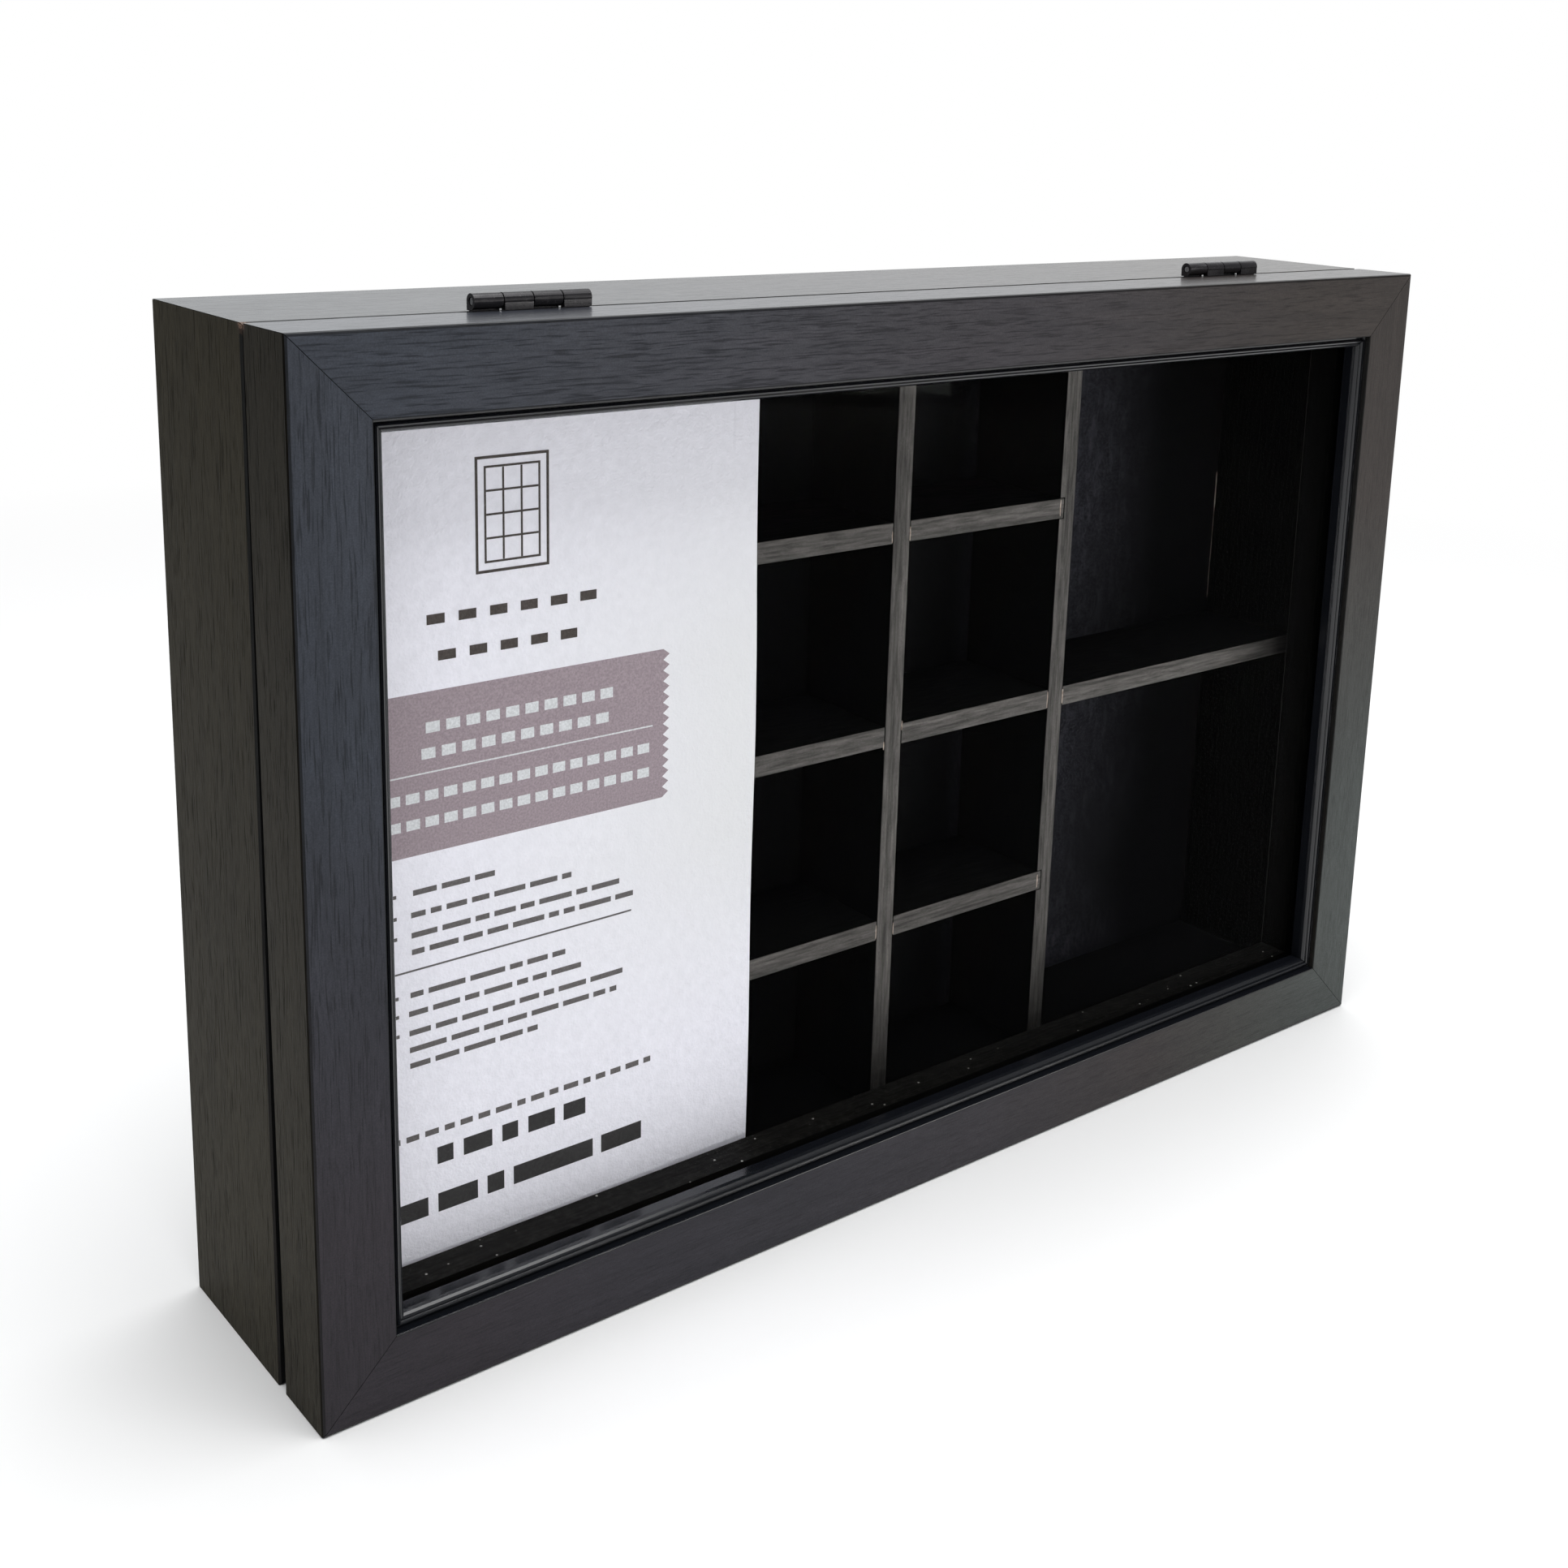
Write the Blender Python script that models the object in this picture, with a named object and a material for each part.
"""Glazed collector's shadow box: an open-backed wooden case with an egg-crate
of dividers, closed by a mitred glass door that is hinged along its top edge.

Metres, +Z up.  The door faces -Y, the case stands on its bottom wall (z = 0)
and the origin is the centre of the bounding box's underside.
"""
import math

import bmesh
import bpy
from mathutils import Matrix, Vector

MM = 0.001

# ---------------------------------------------------------------- dimensions
WIDTH = 304.8 * MM            # outside, 12 in
HEIGHT = 203.2 * MM           # outside, 8 in

# case
CASE_DEPTH = 40.0 * MM
WALL_T = 9.0 * MM
RABBET_DEPTH = 7.0 * MM       # rear rebate that takes the back panel
RABBET_LIP = 4.6 * MM         # what is left of the wall behind the shoulder
PANEL_T = 3.0 * MM
DIVIDER_T = 4.8 * MM
DIVIDER_RECESS = 3.3 * MM     # dividers stop short of the wall's front edge
COLUMN_X = 52.4 * MM          # centre of an outer divider
ROW_PITCH = 47.5 * MM
DADO_DEPTH = 1.5 * MM

# door
DOOR_T = 16.5 * MM
FACE_W = 15.3 * MM            # flat of the moulding
LIP_W = 18.0 * MM             # outer edge to the sight edge
GLASS_RABBET_W = 12.0 * MM    # outer edge to the wall of the glass rebate
GLASS_FRONT = 5.6 * MM
GLASS_T = 2.0 * MM
STRIP_BACK = 16.0 * MM

# hinge line
SEAM = 0.8 * MM               # gap between door and case at the hinge
REST_TILT = math.radians(0.5) # the closed door stands off its magnets
PIN_RISE = 1.8 * MM           # pin axis above the top faces
PIN_R = 0.65 * MM
BORE_R = 0.80 * MM
KNUCKLE_R = 1.5 * MM
HINGE_LEN = 25.0 * MM
HINGE_X = 97.0 * MM
LEAF_T = 0.5 * MM
LEAF_H = 7.6 * MM
KNUCKLE_GAP = 0.25 * MM

GAP = 0.3 * MM                # between pieces that touch
MITRE_GAP = 0.08 * MM         # each side of a mitre

# catch
MAGNET_X = 104.0 * MM
MAGNET_R = 3.0 * MM
MAGNET_T = 3.4 * MM
MAGNET_PROUD = 1.2 * MM
STRIKE_R = 3.6 * MM
STRIKE_T = 1.05 * MM

# hanging plates
HANGER_X = 84.0 * MM
HANGER_L = 44.0 * MM
HANGER_H = 8.0 * MM
HANGER_T = 0.8 * MM

# depth positions: the case's front plane is placed so that the bounding box
# (door toe in front, nail heads of the hanging plates behind) is centred on y = 0
NAIL_HEAD = 0.5 * MM
TOE = (SEAM / 2 + DOOR_T) * math.cos(REST_TILT) \
    + (HEIGHT + PIN_RISE - 0.6 * MM) * math.sin(REST_TILT) + SEAM / 2
REAR = CASE_DEPTH + 0.1 * MM + HANGER_T + NAIL_HEAD
CASE_Y = (TOE - REAR) / 2
PIN_Y = CASE_Y - SEAM / 2
PIN_Z = HEIGHT + PIN_RISE

# ------------------------------------------------------------------- scene
for old in list(bpy.data.objects):
    bpy.data.objects.remove(old, do_unlink=True)

parts = bpy.data.collections.new("shadow_box")
cutters = bpy.data.collections.new("cutters")
bpy.context.scene.collection.children.link(parts)
bpy.context.scene.collection.children.link(cutters)


def material(name, color, roughness, metallic=0.0, alpha=1.0):
    mat = bpy.data.materials.new(name)
    mat.use_nodes = True
    bsdf = mat.node_tree.nodes["Principled BSDF"]
    bsdf.inputs["Base Color"].default_value = (*color, 1.0)
    bsdf.inputs["Roughness"].default_value = roughness
    bsdf.inputs["Metallic"].default_value = metallic
    bsdf.inputs["Alpha"].default_value = alpha
    return mat


BLACK_WOOD = material("black_woodgrain", (0.035, 0.037, 0.040), 0.45)
BLACK_BOARD = material("black_divider_board", (0.030, 0.030, 0.030), 0.60)
DARK_STRIP = material("dark_strip", (0.028, 0.020, 0.017), 0.70)
GLASS = material("clear_glass", (0.90, 0.95, 0.95), 0.03, 0.0, 0.15)
PAPER = material("paper_insert", (0.80, 0.80, 0.83), 0.80)
BACKING = material("backing_board", (0.060, 0.062, 0.066), 0.75)
BLACK_METAL = material("blackened_hinge_steel", (0.025, 0.025, 0.026), 0.38, 0.8)
PIN_STEEL = material("pin_steel", (0.30, 0.30, 0.31), 0.30, 1.0)
MAGNET = material("nickel_magnet", (0.60, 0.60, 0.62), 0.22, 1.0)
ZINC = material("zinc_plate", (0.55, 0.56, 0.58), 0.35, 1.0)

root = bpy.data.objects.new("case_frame", None)
root.location = (0.0, CASE_Y, 0.0)
parts.objects.link(root)

door = bpy.data.objects.new("door_pivot", None)
door.location = (0.0, PIN_Y, PIN_Z)
door.rotation_euler = (-REST_TILT, 0.0, 0.0)
parts.objects.link(door)

# a point of the closed door, given from the door's front bottom centre,
# becomes a point from the pin
DOOR_OFFSET = Vector((0.0, -SEAM / 2 - DOOR_T, -PIN_Z))


def face_out(bm):
    bmesh.ops.recalc_face_normals(bm, faces=bm.faces[:])
    if bm.calc_volume(signed=True) < 0:
        bmesh.ops.reverse_faces(bm, faces=bm.faces[:])


def finish(bm, name):
    face_out(bm)
    mesh = bpy.data.meshes.new(name)
    bm.to_mesh(mesh)
    bm.free()
    return mesh


def place(name, mesh, mat, location, parent, rotation=(0.0, 0.0, 0.0)):
    obj = bpy.data.objects.new(name, mesh)
    if mat is not None:
        if not mesh.materials:
            mesh.materials.append(mat)
        parts.objects.link(obj)
    else:
        obj.hide_render = True
        obj.display_type = "WIRE"
        cutters.objects.link(obj)
    obj.parent = parent
    obj.location = Vector(location) + (DOOR_OFFSET if parent is door else Vector())
    obj.rotation_euler = rotation
    return obj


def cut(target, cutter, name):
    mod = target.modifiers.new(name, "BOOLEAN")
    mod.operation = "DIFFERENCE"
    mod.solver = "EXACT"
    mod.object = cutter


def join_on(target, tool, name):
    mod = target.modifiers.new(name, "BOOLEAN")
    mod.operation = "UNION"
    mod.solver = "EXACT"
    mod.object = tool


def blocks(name, boxes):
    """One mesh of separate blocks, each given as (centre, size)."""
    bm = bmesh.new()
    for centre, size in boxes:
        matrix = Matrix.Translation(centre) @ Matrix.Diagonal((*size, 1.0))
        bmesh.ops.create_cube(bm, size=1.0, matrix=matrix)
    return finish(bm, name)


def rods(name, rods_, axis="Y", sides=20):
    """One mesh of separate round rods, each (centre, radius, length)."""
    turn = {"X": Matrix.Rotation(math.radians(90), 4, "Y"),
            "Y": Matrix.Rotation(math.radians(90), 4, "X"),
            "Z": Matrix.Identity(4)}[axis]
    bm = bmesh.new()
    for centre, radius, length in rods_:
        bmesh.ops.create_cone(bm, cap_ends=True, segments=sides, radius1=radius,
                              radius2=radius, depth=length,
                              matrix=Matrix.Translation(centre) @ turn)
    return finish(bm, name)


def smooth(obj, angle=35.0):
    obj.data.shade_smooth()
    obj.data.set_sharp_from_angle(angle=math.radians(angle))


def plate(name, outline, thickness):
    """A flat outline in XY, given its thickness along Z."""
    curve = bpy.data.curves.new(name + "_outline", "CURVE")
    curve.dimensions = "2D"
    curve.fill_mode = "BOTH"
    curve.extrude = thickness / 2
    spline = curve.splines.new("POLY")
    spline.points.add(len(outline) - 1)
    for point, (a, b) in zip(spline.points, outline):
        point.co = (a, b, 0.0, 1.0)
    spline.use_cyclic_u = True
    carrier = bpy.data.objects.new(name + "_outline", curve)
    cutters.objects.link(carrier)
    bpy.context.view_layer.update()
    graph = bpy.context.evaluated_depsgraph_get()
    mesh = bpy.data.meshes.new_from_object(carrier.evaluated_get(graph))
    mesh.name = name
    bm = bmesh.new()
    bm.from_mesh(mesh)
    bmesh.ops.remove_doubles(bm, verts=bm.verts[:], dist=1e-6)
    face_out(bm)
    bm.to_mesh(mesh)
    bm.free()
    bpy.data.objects.remove(carrier, do_unlink=True)
    bpy.data.curves.remove(curve)
    return mesh


def mitred(name, section, length):
    """A moulding along X whose section is (inward, back) from its outer front
    edge, with both ends mitred; inward is +Z and back is +Y."""
    mesh = plate(name, section, 1.0)
    bm = bmesh.new()
    bm.from_mesh(mesh)
    for vert in bm.verts:
        inward, back, end = vert.co
        reach = length / 2 - inward - MITRE_GAP
        vert.co = (math.copysign(reach, end), back, inward)
    face_out(bm)
    bm.to_mesh(mesh)
    bm.free()
    return mesh


def frame_of_four(names, section, mat, parent):
    """Bottom, right, top and left members round the rectangle."""
    quarter = math.pi / 2
    spots = (((0.0, 0.0, 0.0), 0.0, WIDTH),
             ((WIDTH / 2, 0.0, HEIGHT / 2), -quarter, HEIGHT),
             ((0.0, 0.0, HEIGHT), math.pi, WIDTH),
             ((-WIDTH / 2, 0.0, HEIGHT / 2), quarter, HEIGHT))
    made = []
    for name, (spot, turn, length) in zip(names, spots):
        obj = place(name, mitred(name, section, length), mat, spot, parent,
                    (0.0, turn, 0.0))
        made.append(obj)
    return made


def mm(points):
    return [(a * MM, b * MM) for a, b in points]


# ------------------------------------------------------------------ case
wall_section = [
    (0.0, 0.4 * MM), (0.4 * MM, 0.0),
    (WALL_T - 0.3 * MM, 0.0), (WALL_T, 0.3 * MM),
    (WALL_T, CASE_DEPTH - RABBET_DEPTH),
    (RABBET_LIP, CASE_DEPTH - RABBET_DEPTH),
    (RABBET_LIP, CASE_DEPTH),
    (0.4 * MM, CASE_DEPTH), (0.0, CASE_DEPTH - 0.4 * MM),
]
wall_bottom, wall_right, wall_top, wall_left = frame_of_four(
    ("case_bottom_wall", "case_right_wall", "case_top_wall", "case_left_wall"),
    wall_section, BLACK_WOOD, root)

PANEL_Y = CASE_DEPTH - RABBET_DEPTH + 0.1 * MM + PANEL_T / 2
panel = place("back_panel",
              blocks("back_panel", [((0, 0, 0),
                                     (WIDTH - 2 * RABBET_LIP - 0.6 * MM, PANEL_T,
                                      HEIGHT - 2 * RABBET_LIP - 0.6 * MM))]),
              BACKING, (0.0, PANEL_Y, HEIGHT / 2), root)

# brads through the panel's edge into the shoulder of the rebate
BRAD_R, BRAD_HEAD_R, BRAD_LEN = 0.6 * MM, 1.2 * MM, 9.0 * MM
SHOULDER = (WALL_T + RABBET_LIP) / 2
BRAD_HEAD_Y = PANEL_Y + PANEL_T / 2 + 0.1 * MM
brad_spots = [("back_brad_top_left", -100 * MM, HEIGHT - SHOULDER, wall_top),
              ("back_brad_top_right", 100 * MM, HEIGHT - SHOULDER, wall_top),
              ("back_brad_bottom_left", -100 * MM, SHOULDER, wall_bottom),
              ("back_brad_bottom_right", 100 * MM, SHOULDER, wall_bottom),
              ("back_brad_left", -WIDTH / 2 + SHOULDER, HEIGHT / 2, wall_left),
              ("back_brad_right", WIDTH / 2 - SHOULDER, HEIGHT / 2, wall_right)]


def nail_mesh(name, shank_r, shank_l, head_r, head_t):
    """A nail along Y, its head's outer face at y = +head_t, tip at -shank_l."""
    profile = [(0.0, head_t), (head_r * 0.8, head_t), (head_r, head_t * 0.6),
               (head_r, 0.0), (shank_r, 0.0), (shank_r, -shank_l + shank_r * 2),
               (0.0, -shank_l)]
    bm = bmesh.new()
    verts = [bm.verts.new((r, y, 0.0)) for r, y in profile]
    edges = [bm.edges.new(pair) for pair in zip(verts, verts[1:])]
    bmesh.ops.spin(bm, geom=verts + edges, axis=(0, 1, 0), cent=(0, 0, 0),
                   angle=2 * math.pi, steps=12, use_merge=True, dvec=(0, 0, 0))
    bmesh.ops.remove_doubles(bm, verts=bm.verts[:], dist=1e-6)
    return finish(bm, name)


brad_mesh = nail_mesh("brad", BRAD_R, BRAD_LEN, BRAD_HEAD_R, 0.4 * MM)
panel_holes = []
for name, x, z, wall in brad_spots:
    brad = place(name, brad_mesh, ZINC, (x, BRAD_HEAD_Y, z), root)
    smooth(brad)
    hole = place(name + "_pilot",
                 rods(name + "_pilot", [((0, 0, 0), BRAD_R + 0.2 * MM, 14 * MM)], sides=12),
                 None, (x, BRAD_HEAD_Y - 3.2 * MM, z), root)
    cut(wall, hole, "brad_hole")
    cut(panel, hole, "brad_hole_" + name)

# ------------------------------------------------------------------ dividers
DIV_FRONT = DIVIDER_RECESS
DIV_BACK = CASE_DEPTH - RABBET_DEPTH - 0.2 * MM
DIV_MID = (DIV_FRONT + DIV_BACK) / 2
SLOT = DIVIDER_T / 2 + 0.15 * MM
rows = (HEIGHT / 2 - ROW_PITCH, HEIGHT / 2, HEIGHT / 2 + ROW_PITCH)


def upright(name, x, slot_rows):
    """A vertical board slotted from behind; outline in (depth, height)."""
    low, high = WALL_T + GAP, HEIGHT - WALL_T - GAP
    outline = [(DIV_FRONT, low), (DIV_BACK, low)]
    for z in slot_rows:
        outline += [(DIV_BACK, z - SLOT), (DIV_MID - 0.1 * MM, z - SLOT),
                    (DIV_MID - 0.1 * MM, z + SLOT), (DIV_BACK, z + SLOT)]
    outline += [(DIV_BACK, high), (DIV_FRONT, high)]
    mesh = plate(name, outline, DIVIDER_T)
    # the plate's XYZ become the case's YZX
    mesh.transform(Matrix(((0, 0, 1, 0), (1, 0, 0, 0), (0, 1, 0, 0), (0, 0, 0, 1))))
    return place(name, mesh, BLACK_BOARD, (x, 0.0, 0.0), root)


def shelf(name, z, half_length, slot_columns):
    """A horizontal board slotted from the front; outline in (x, depth)."""
    outline = [(half_length, DIV_BACK), (-half_length, DIV_BACK),
               (-half_length, DIV_FRONT)]
    for x in slot_columns:
        outline += [(x - SLOT, DIV_FRONT), (x - SLOT, DIV_MID + 0.1 * MM),
                    (x + SLOT, DIV_MID + 0.1 * MM), (x + SLOT, DIV_FRONT)]
    outline += [(half_length, DIV_FRONT)]
    return place(name, plate(name, outline, DIVIDER_T), BLACK_BOARD,
                 (0.0, 0.0, z), root)


divider_left = upright("divider_left", -COLUMN_X, rows[1:2])
divider_centre = upright("divider_centre", 0.0, rows)
divider_right = upright("divider_right", COLUMN_X, rows[1:2])
shelf("shelf_middle", rows[1], WIDTH / 2 - WALL_T - GAP, (-COLUMN_X, 0.0, COLUMN_X))
SHORT = COLUMN_X - DIVIDER_T / 2 + DADO_DEPTH - 0.15 * MM
shelf("shelf_upper", rows[2], SHORT, (0.0,))
shelf("shelf_lower", rows[0], SHORT, (0.0,))
for side, board in ((-1, divider_left), (1, divider_right)):
    inner = side * (COLUMN_X - DIVIDER_T / 2)
    dado = blocks("dado", [((inner, DIV_MID, z), (2 * DADO_DEPTH, 40 * MM, 2 * SLOT))
                           for z in (rows[0], rows[2])])
    cut(board, place(board.name + "_dado", dado, None, (0, 0, 0), root), "dado")

# ------------------------------------------------------------------ door
door_section = mm([
    (0.0, 0.6), (0.18, 0.18), (0.6, 0.0),
    (15.0, 0.0), (15.22, 0.08), (15.3, 0.3),
    (15.35, 1.5), (15.6, 2.1), (15.95, 2.15),
    (16.2, 1.55), (16.5, 1.25), (16.8, 1.4),
    (16.95, 1.8), (17.2, 1.65), (17.5, 1.85),
    (17.8, 2.35), (18.0, 3.1), (18.0, 5.5),
    (12.0, 5.5), (12.0, 16.5), (0.4, 16.5), (0.0, 16.1),
])
rail_bottom, stile_right, rail_top, stile_left = frame_of_four(
    ("door_bottom_rail", "door_right_stile", "door_top_rail", "door_left_stile"),
    door_section, BLACK_WOOD, door)

place("glass_pane",
      blocks("glass_pane", [((0, 0, 0),
                             (WIDTH - 2 * GLASS_RABBET_W - 2 * GAP, GLASS_T,
                              HEIGHT - 2 * GLASS_RABBET_W - 2 * GAP))]),
      GLASS, (0.0, GLASS_FRONT + GLASS_T / 2, HEIGHT / 2), door)

strip_low = GLASS_FRONT + GLASS_T + 0.15 * MM
strip_section = [
    (GLASS_RABBET_W + 0.15 * MM, strip_low), (LIP_W - 0.05 * MM, strip_low),
    (LIP_W - 0.05 * MM, STRIP_BACK - 0.3 * MM), (LIP_W - 0.35 * MM, STRIP_BACK),
    (GLASS_RABBET_W + 0.15 * MM, STRIP_BACK),
]
frame_of_four(("glass_strip_bottom", "glass_strip_right",
               "glass_strip_top", "glass_strip_left"),
              strip_section, DARK_STRIP, door)

# loose paper insert behind the left part of the glass
CARD_X = (-141.0 * MM, -42.8 * MM)
CARD_Z = (11.0 * MM, 192.0 * MM)
CARD_T = 0.3 * MM
place("insert_card",
      blocks("insert_card", [((0, 0, 0), (CARD_X[1] - CARD_X[0], CARD_T,
                                          CARD_Z[1] - CARD_Z[0]))]),
      PAPER, (sum(CARD_X) / 2, STRIP_BACK + 0.55 * MM + CARD_T / 2, sum(CARD_Z) / 2), door)

# ------------------------------------------------------------------ hinges
LEAF_IN = 0.15 * MM           # leaf's inner face from the pin's plane
SEG = HINGE_LEN / 4
SKIRT_OUT = KNUCKLE_R - 0.04 * MM
SKIRT_DROP = PIN_RISE - 0.15 * MM
SCREW_DROP = 4.6 * MM         # screw line below the top faces
SCREW_SPREAD = 7.0 * MM
SCREW_R, SCREW_LEN = 0.8 * MM, 7.0 * MM
HEAD_R, HEAD_T = 1.55 * MM, 0.42 * MM


def leaf(name, parent, pin, side, segments):
    """One leaf with two knuckles.  side is +1 for the case's leaf and -1 for
    the door's; pin is the pin's centre in the parent's local frame."""
    px, py, pz = pin
    mid_y = side * (LEAF_IN + LEAF_T / 2)
    top = -PIN_RISE + 0.05 * MM
    bottom = -PIN_RISE - LEAF_H
    obj = place(name, blocks(name, [((0, mid_y, (top + bottom) / 2),
                                     (HINGE_LEN, LEAF_T, top - bottom))]),
                BLACK_METAL, (0, 0, 0), parent)
    obj.location = (px, py, pz)
    tabs, skirts, barrels = [], [], []
    for k in segments:
        x = -HINGE_LEN / 2 + (k + 0.5) * SEG
        wide = SEG - KNUCKLE_GAP
        tabs.append(((x, mid_y, -PIN_RISE / 2 - 0.2 * MM),
                     (wide, LEAF_T, PIN_RISE + 0.4 * MM)))
        # the curl's outer side drops straight to just above the top face
        skirts.append(((x, side * (LEAF_IN + SKIRT_OUT) / 2, -SKIRT_DROP / 2),
                       (wide - 0.02 * MM, SKIRT_OUT - LEAF_IN, SKIRT_DROP)))
        barrels.append(((x, 0, 0), KNUCKLE_R, wide))
    tab = place(name + "_tabs", blocks(name + "_tabs", tabs), None, (0, 0, 0), parent)
    skirt = place(name + "_skirts", blocks(name + "_skirts", skirts), None, (0, 0, 0),
                  parent)
    barrel = place(name + "_barrels", rods(name + "_barrels", barrels, "X", 24), None,
                   (0, 0, 0), parent)
    bore = place(name + "_bore", rods(name + "_bore", [((0, 0, 0), BORE_R, 40 * MM)],
                                      "X", 16), None, (0, 0, 0), parent)
    holes = place(name + "_holes",
                  rods(name + "_holes",
                       [((s * SCREW_SPREAD, mid_y, -PIN_RISE - SCREW_DROP),
                         HEAD_R + 0.2 * MM, 3 * MM) for s in (-1, 1)], "Y", 20),
                  None, (0, 0, 0), parent)
    for tool in (tab, skirt, barrel, bore, holes):
        tool.location = (px, py, pz)
    join_on(obj, tab, "tabs")
    join_on(obj, skirt, "skirts")
    join_on(obj, barrel, "knuckles")
    cut(obj, bore, "bore")
    cut(obj, holes, "screw_holes")
    return obj


# a countersunk screw along Y: head's face at y = 0, shank running to -SCREW_LEN
screw_profile = [(0.0, 0.0), (HEAD_R, 0.0), (HEAD_R, -0.12 * MM), (SCREW_R, -HEAD_T),
                 (SCREW_R, -SCREW_LEN + 1.6 * MM), (0.0, -SCREW_LEN)]
bm = bmesh.new()
ring = [bm.verts.new((r, y, 0.0)) for r, y in screw_profile]
links = [bm.edges.new(pair) for pair in zip(ring, ring[1:])]
bmesh.ops.spin(bm, geom=ring + links, axis=(0, 1, 0), cent=(0, 0, 0),
               angle=2 * math.pi, steps=16, use_merge=True, dvec=(0, 0, 0))
bmesh.ops.remove_doubles(bm, verts=bm.verts[:], dist=1e-6)
screw_mesh = finish(bm, "hinge_screw")
screw_slot_mesh = blocks("screw_slot", [((0, 0, 0), (2.2 * MM, 0.3 * MM, 0.35 * MM))])

case_pin_y = -SEAM / 2        # the pin seen from the case's front plane
for hand, hx in (("left", -HINGE_X), ("right", HINGE_X)):
    leaf("hinge_%s_case_leaf" % hand, root, (hx, case_pin_y, PIN_Z), 1, (0, 2))
    leaf("hinge_%s_door_leaf" % hand, door, (hx, 0.0, 0.0), -1, (1, 3))
    pin = place("hinge_%s_pin" % hand,
                rods("hinge_%s_pin" % hand, [((0, 0, 0), PIN_R, HINGE_LEN - 0.6 * MM)],
                     "X", 16), PIN_STEEL, (hx, case_pin_y, PIN_Z), root)
    smooth(pin)

    # mortises for the leaves and pilot holes for the screws
    mortise_d = 0.38 * MM
    for member, parent, py, side in ((wall_top, root, case_pin_y, 1),
                                     (rail_top, door, 0.0, -1)):
        face = side * SEAM / 2
        pocket = place("%s_%s_mortise" % (member.name, hand),
                       blocks("mortise", [((0, face + side * (mortise_d - 1 * MM) / 2,
                                            -PIN_RISE - LEAF_H / 2 + 1 * MM),
                                           (HINGE_LEN + 0.6 * MM, mortise_d + 1 * MM,
                                            LEAF_H + 2.6 * MM))]),
                       None, (0, 0, 0), parent)
        pocket.location = (hx, py, PIN_Z if parent is root else 0.0)
        cut(member, pocket, "mortise_" + hand)
        pilots = place("%s_%s_pilots" % (member.name, hand),
                       rods("pilots", [((s * SCREW_SPREAD, side * 4.4 * MM,
                                         -PIN_RISE - SCREW_DROP),
                                        SCREW_R + 0.2 * MM, 9.0 * MM) for s in (-1, 1)],
                            "Y", 12), None, (0, 0, 0), parent)
        pilots.location = (hx, py, PIN_Z if parent is root else 0.0)
        cut(member, pilots, "pilots_" + hand)
        for s, end in ((-1, "outer" if hand == "left" else "inner"),
                       (1, "inner" if hand == "left" else "outer")):
            who = "case" if parent is root else "door"
            name = "hinge_%s_%s_screw_%s" % (hand, who, end)
            screw = place(name, screw_mesh, BLACK_METAL, (0, 0, 0), parent)
            screw.rotation_euler = (0, 0, math.pi if side > 0 else 0)
            screw.location = (hx + s * SCREW_SPREAD,
                              py + side * (LEAF_IN + 0.06 * MM),
                              (PIN_Z if parent is root else 0.0) - PIN_RISE - SCREW_DROP)

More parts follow.
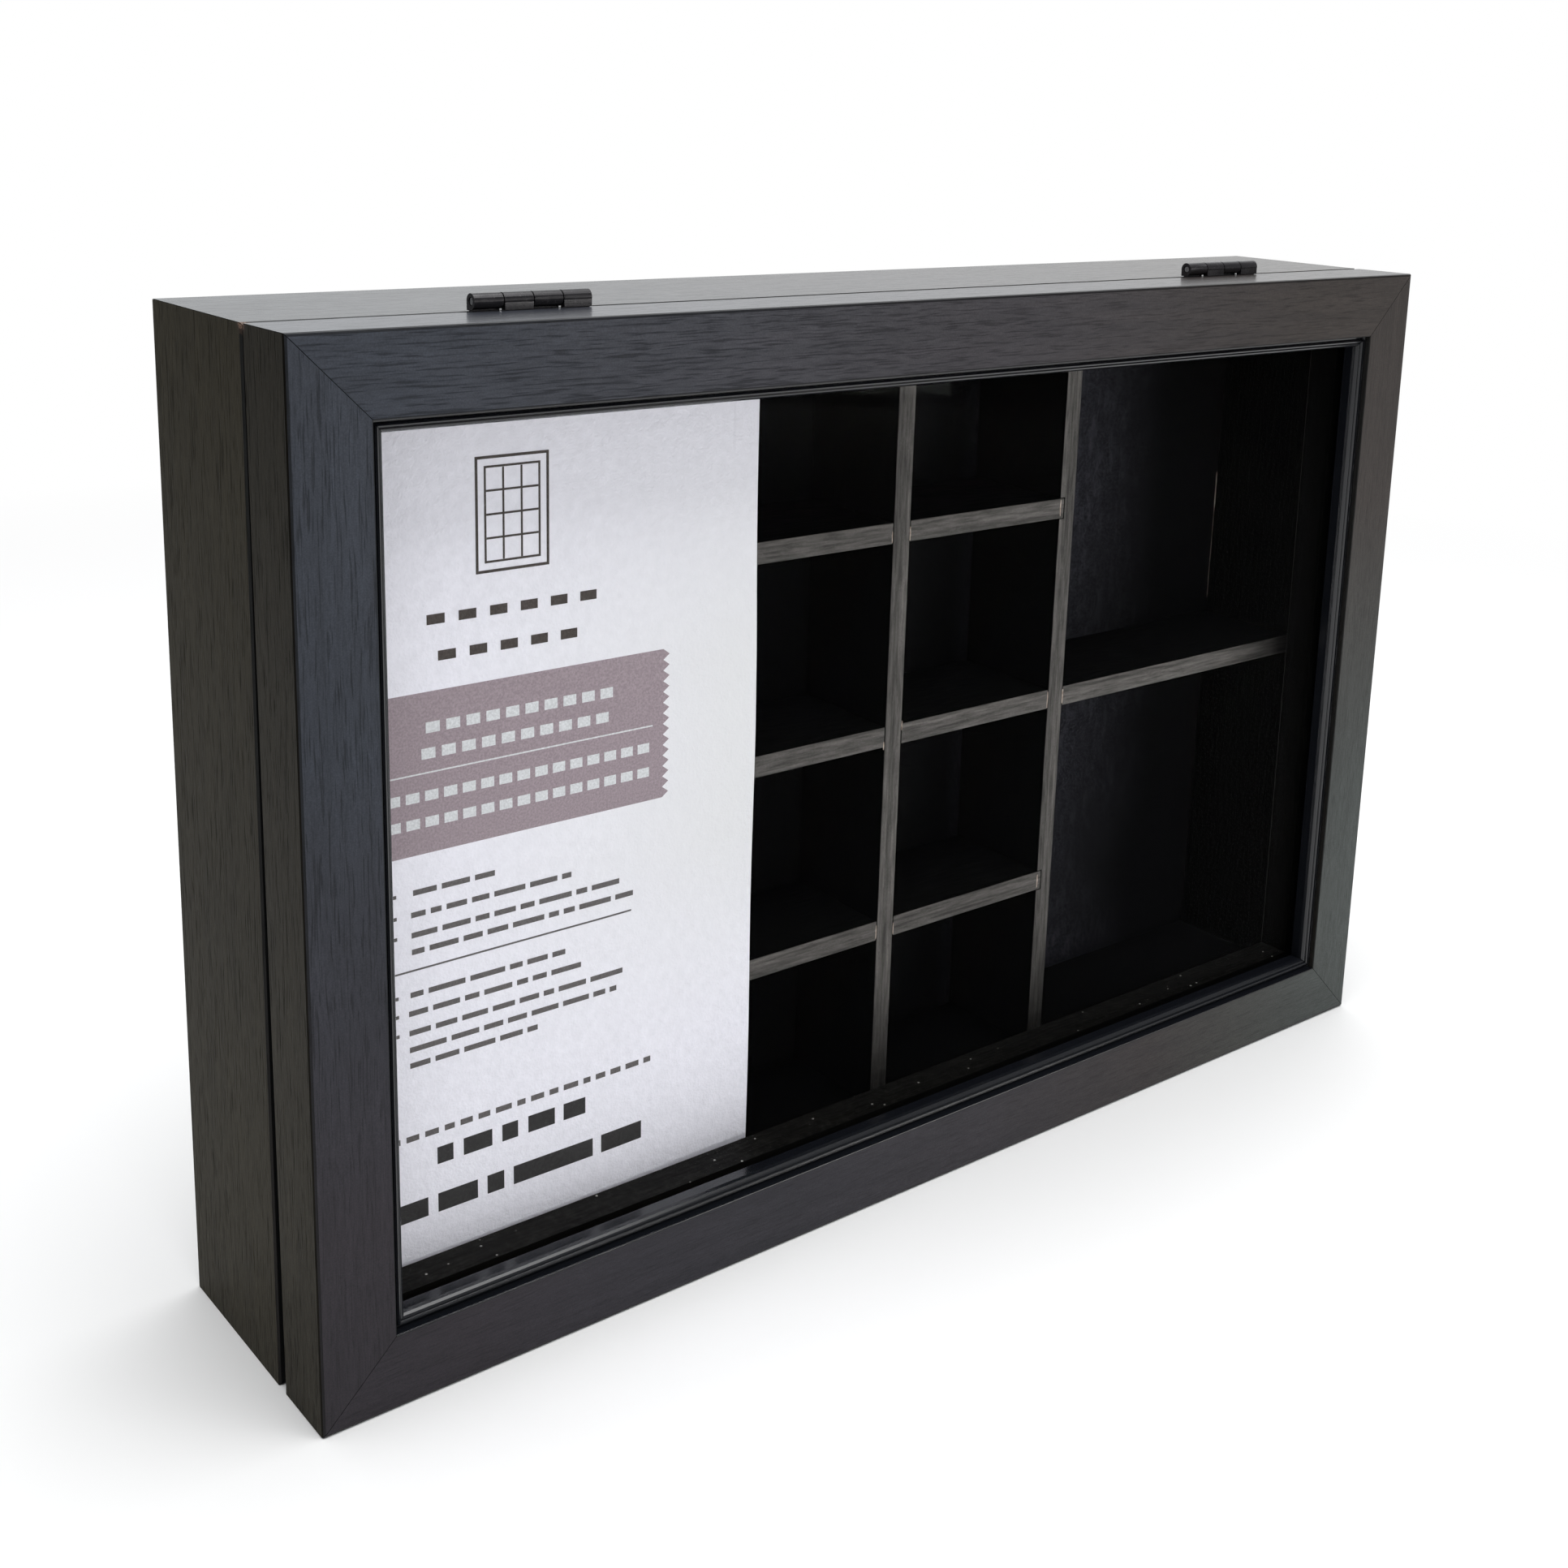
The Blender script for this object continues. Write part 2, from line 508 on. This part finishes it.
# ------------------------------------------------------------------ catch
catch_z = WALL_T / 2
strike_mesh = nail_mesh("strike", 0.8 * MM, 7.0 * MM, STRIKE_R, STRIKE_T)
for hand, x in (("left", -MAGNET_X), ("right", MAGNET_X)):
    pocket = place("magnet_pocket_" + hand,
                   rods("magnet_pocket", [((0, 0, 0), MAGNET_R + 0.15 * MM, 5 * MM)]),
                   None, (x, 0.0, catch_z), root)
    cut(wall_bottom, pocket, "magnet_" + hand)
    magnet = place("magnet_" + hand,
                   rods("magnet", [((0, 0, 0), MAGNET_R, MAGNET_T)]), MAGNET,
                   (x, MAGNET_T / 2 - MAGNET_PROUD, catch_z), root)
    smooth(magnet)
    strike = place("strike_disc_" + hand, strike_mesh, ZINC,
                   (x, DOOR_T + 0.05 * MM, catch_z), door)
    smooth(strike)
    hole = place("strike_hole_" + hand,
                 rods("strike_hole", [((0, 0, 0), 1.0 * MM, 16 * MM)], sides=12), None,
                 (x, DOOR_T, catch_z), door)
    cut(rail_bottom, hole, "strike_" + hand)

# ------------------------------------------------------------------ hanging plates
def sawtooth(name):
    """Plate in (x, height) with teeth under its raised middle."""
    half, low, high = HANGER_L / 2, -HANGER_H / 2, HANGER_H / 2
    teeth = 8
    span = 20.0 * MM
    pitch = span / teeth
    outline = [(-half, low), (-span / 2 - 2 * MM, low), (-span / 2, low + 2.0 * MM)]
    for k in range(teeth):
        x = -span / 2 + k * pitch
        outline += [(x + pitch / 2, low + 3.0 * MM), (x + pitch, low + 2.0 * MM)]
    outline += [(span / 2 + 2 * MM, low), (half, low), (half, high), (-half, high)]
    mesh = plate(name, outline, HANGER_T)
    mesh.transform(Matrix.Rotation(math.radians(90), 4, "X"))
    return mesh


hanger_y = CASE_DEPTH + 0.1 * MM + HANGER_T / 2
nail_mesh_ = nail_mesh("hanger_nail", 0.7 * MM, 10.0 * MM, 1.4 * MM, NAIL_HEAD)
NAIL_X = HANGER_L / 2 - 3.0 * MM
NAIL_Z = HEIGHT - 2.4 * MM
for hand, x in (("left", HANGER_X), ("right", -HANGER_X)):
    hanger = place("hanger_%s" % hand, sawtooth("hanger_" + hand), ZINC,
                   (x, hanger_y, HEIGHT - HANGER_H / 2 - 0.4 * MM), root)
    drill = place("hanger_drill_" + hand,
                  rods("hanger_drill", [((s * NAIL_X, 0, 0), 0.9 * MM, 24 * MM)
                                        for s in (-1, 1)], sides=12),
                  None, (x, CASE_DEPTH, NAIL_Z), root)
    cut(hanger, drill, "nail_holes")
    cut(wall_top, drill, "hanger_holes_" + hand)
    for s, end in ((-1, "a"), (1, "b")):
        nail = place("hanger_%s_nail_%s" % (hand, end), nail_mesh_, ZINC,
                     (x + s * NAIL_X, hanger_y + HANGER_T / 2, NAIL_Z), root)
        smooth(nail)
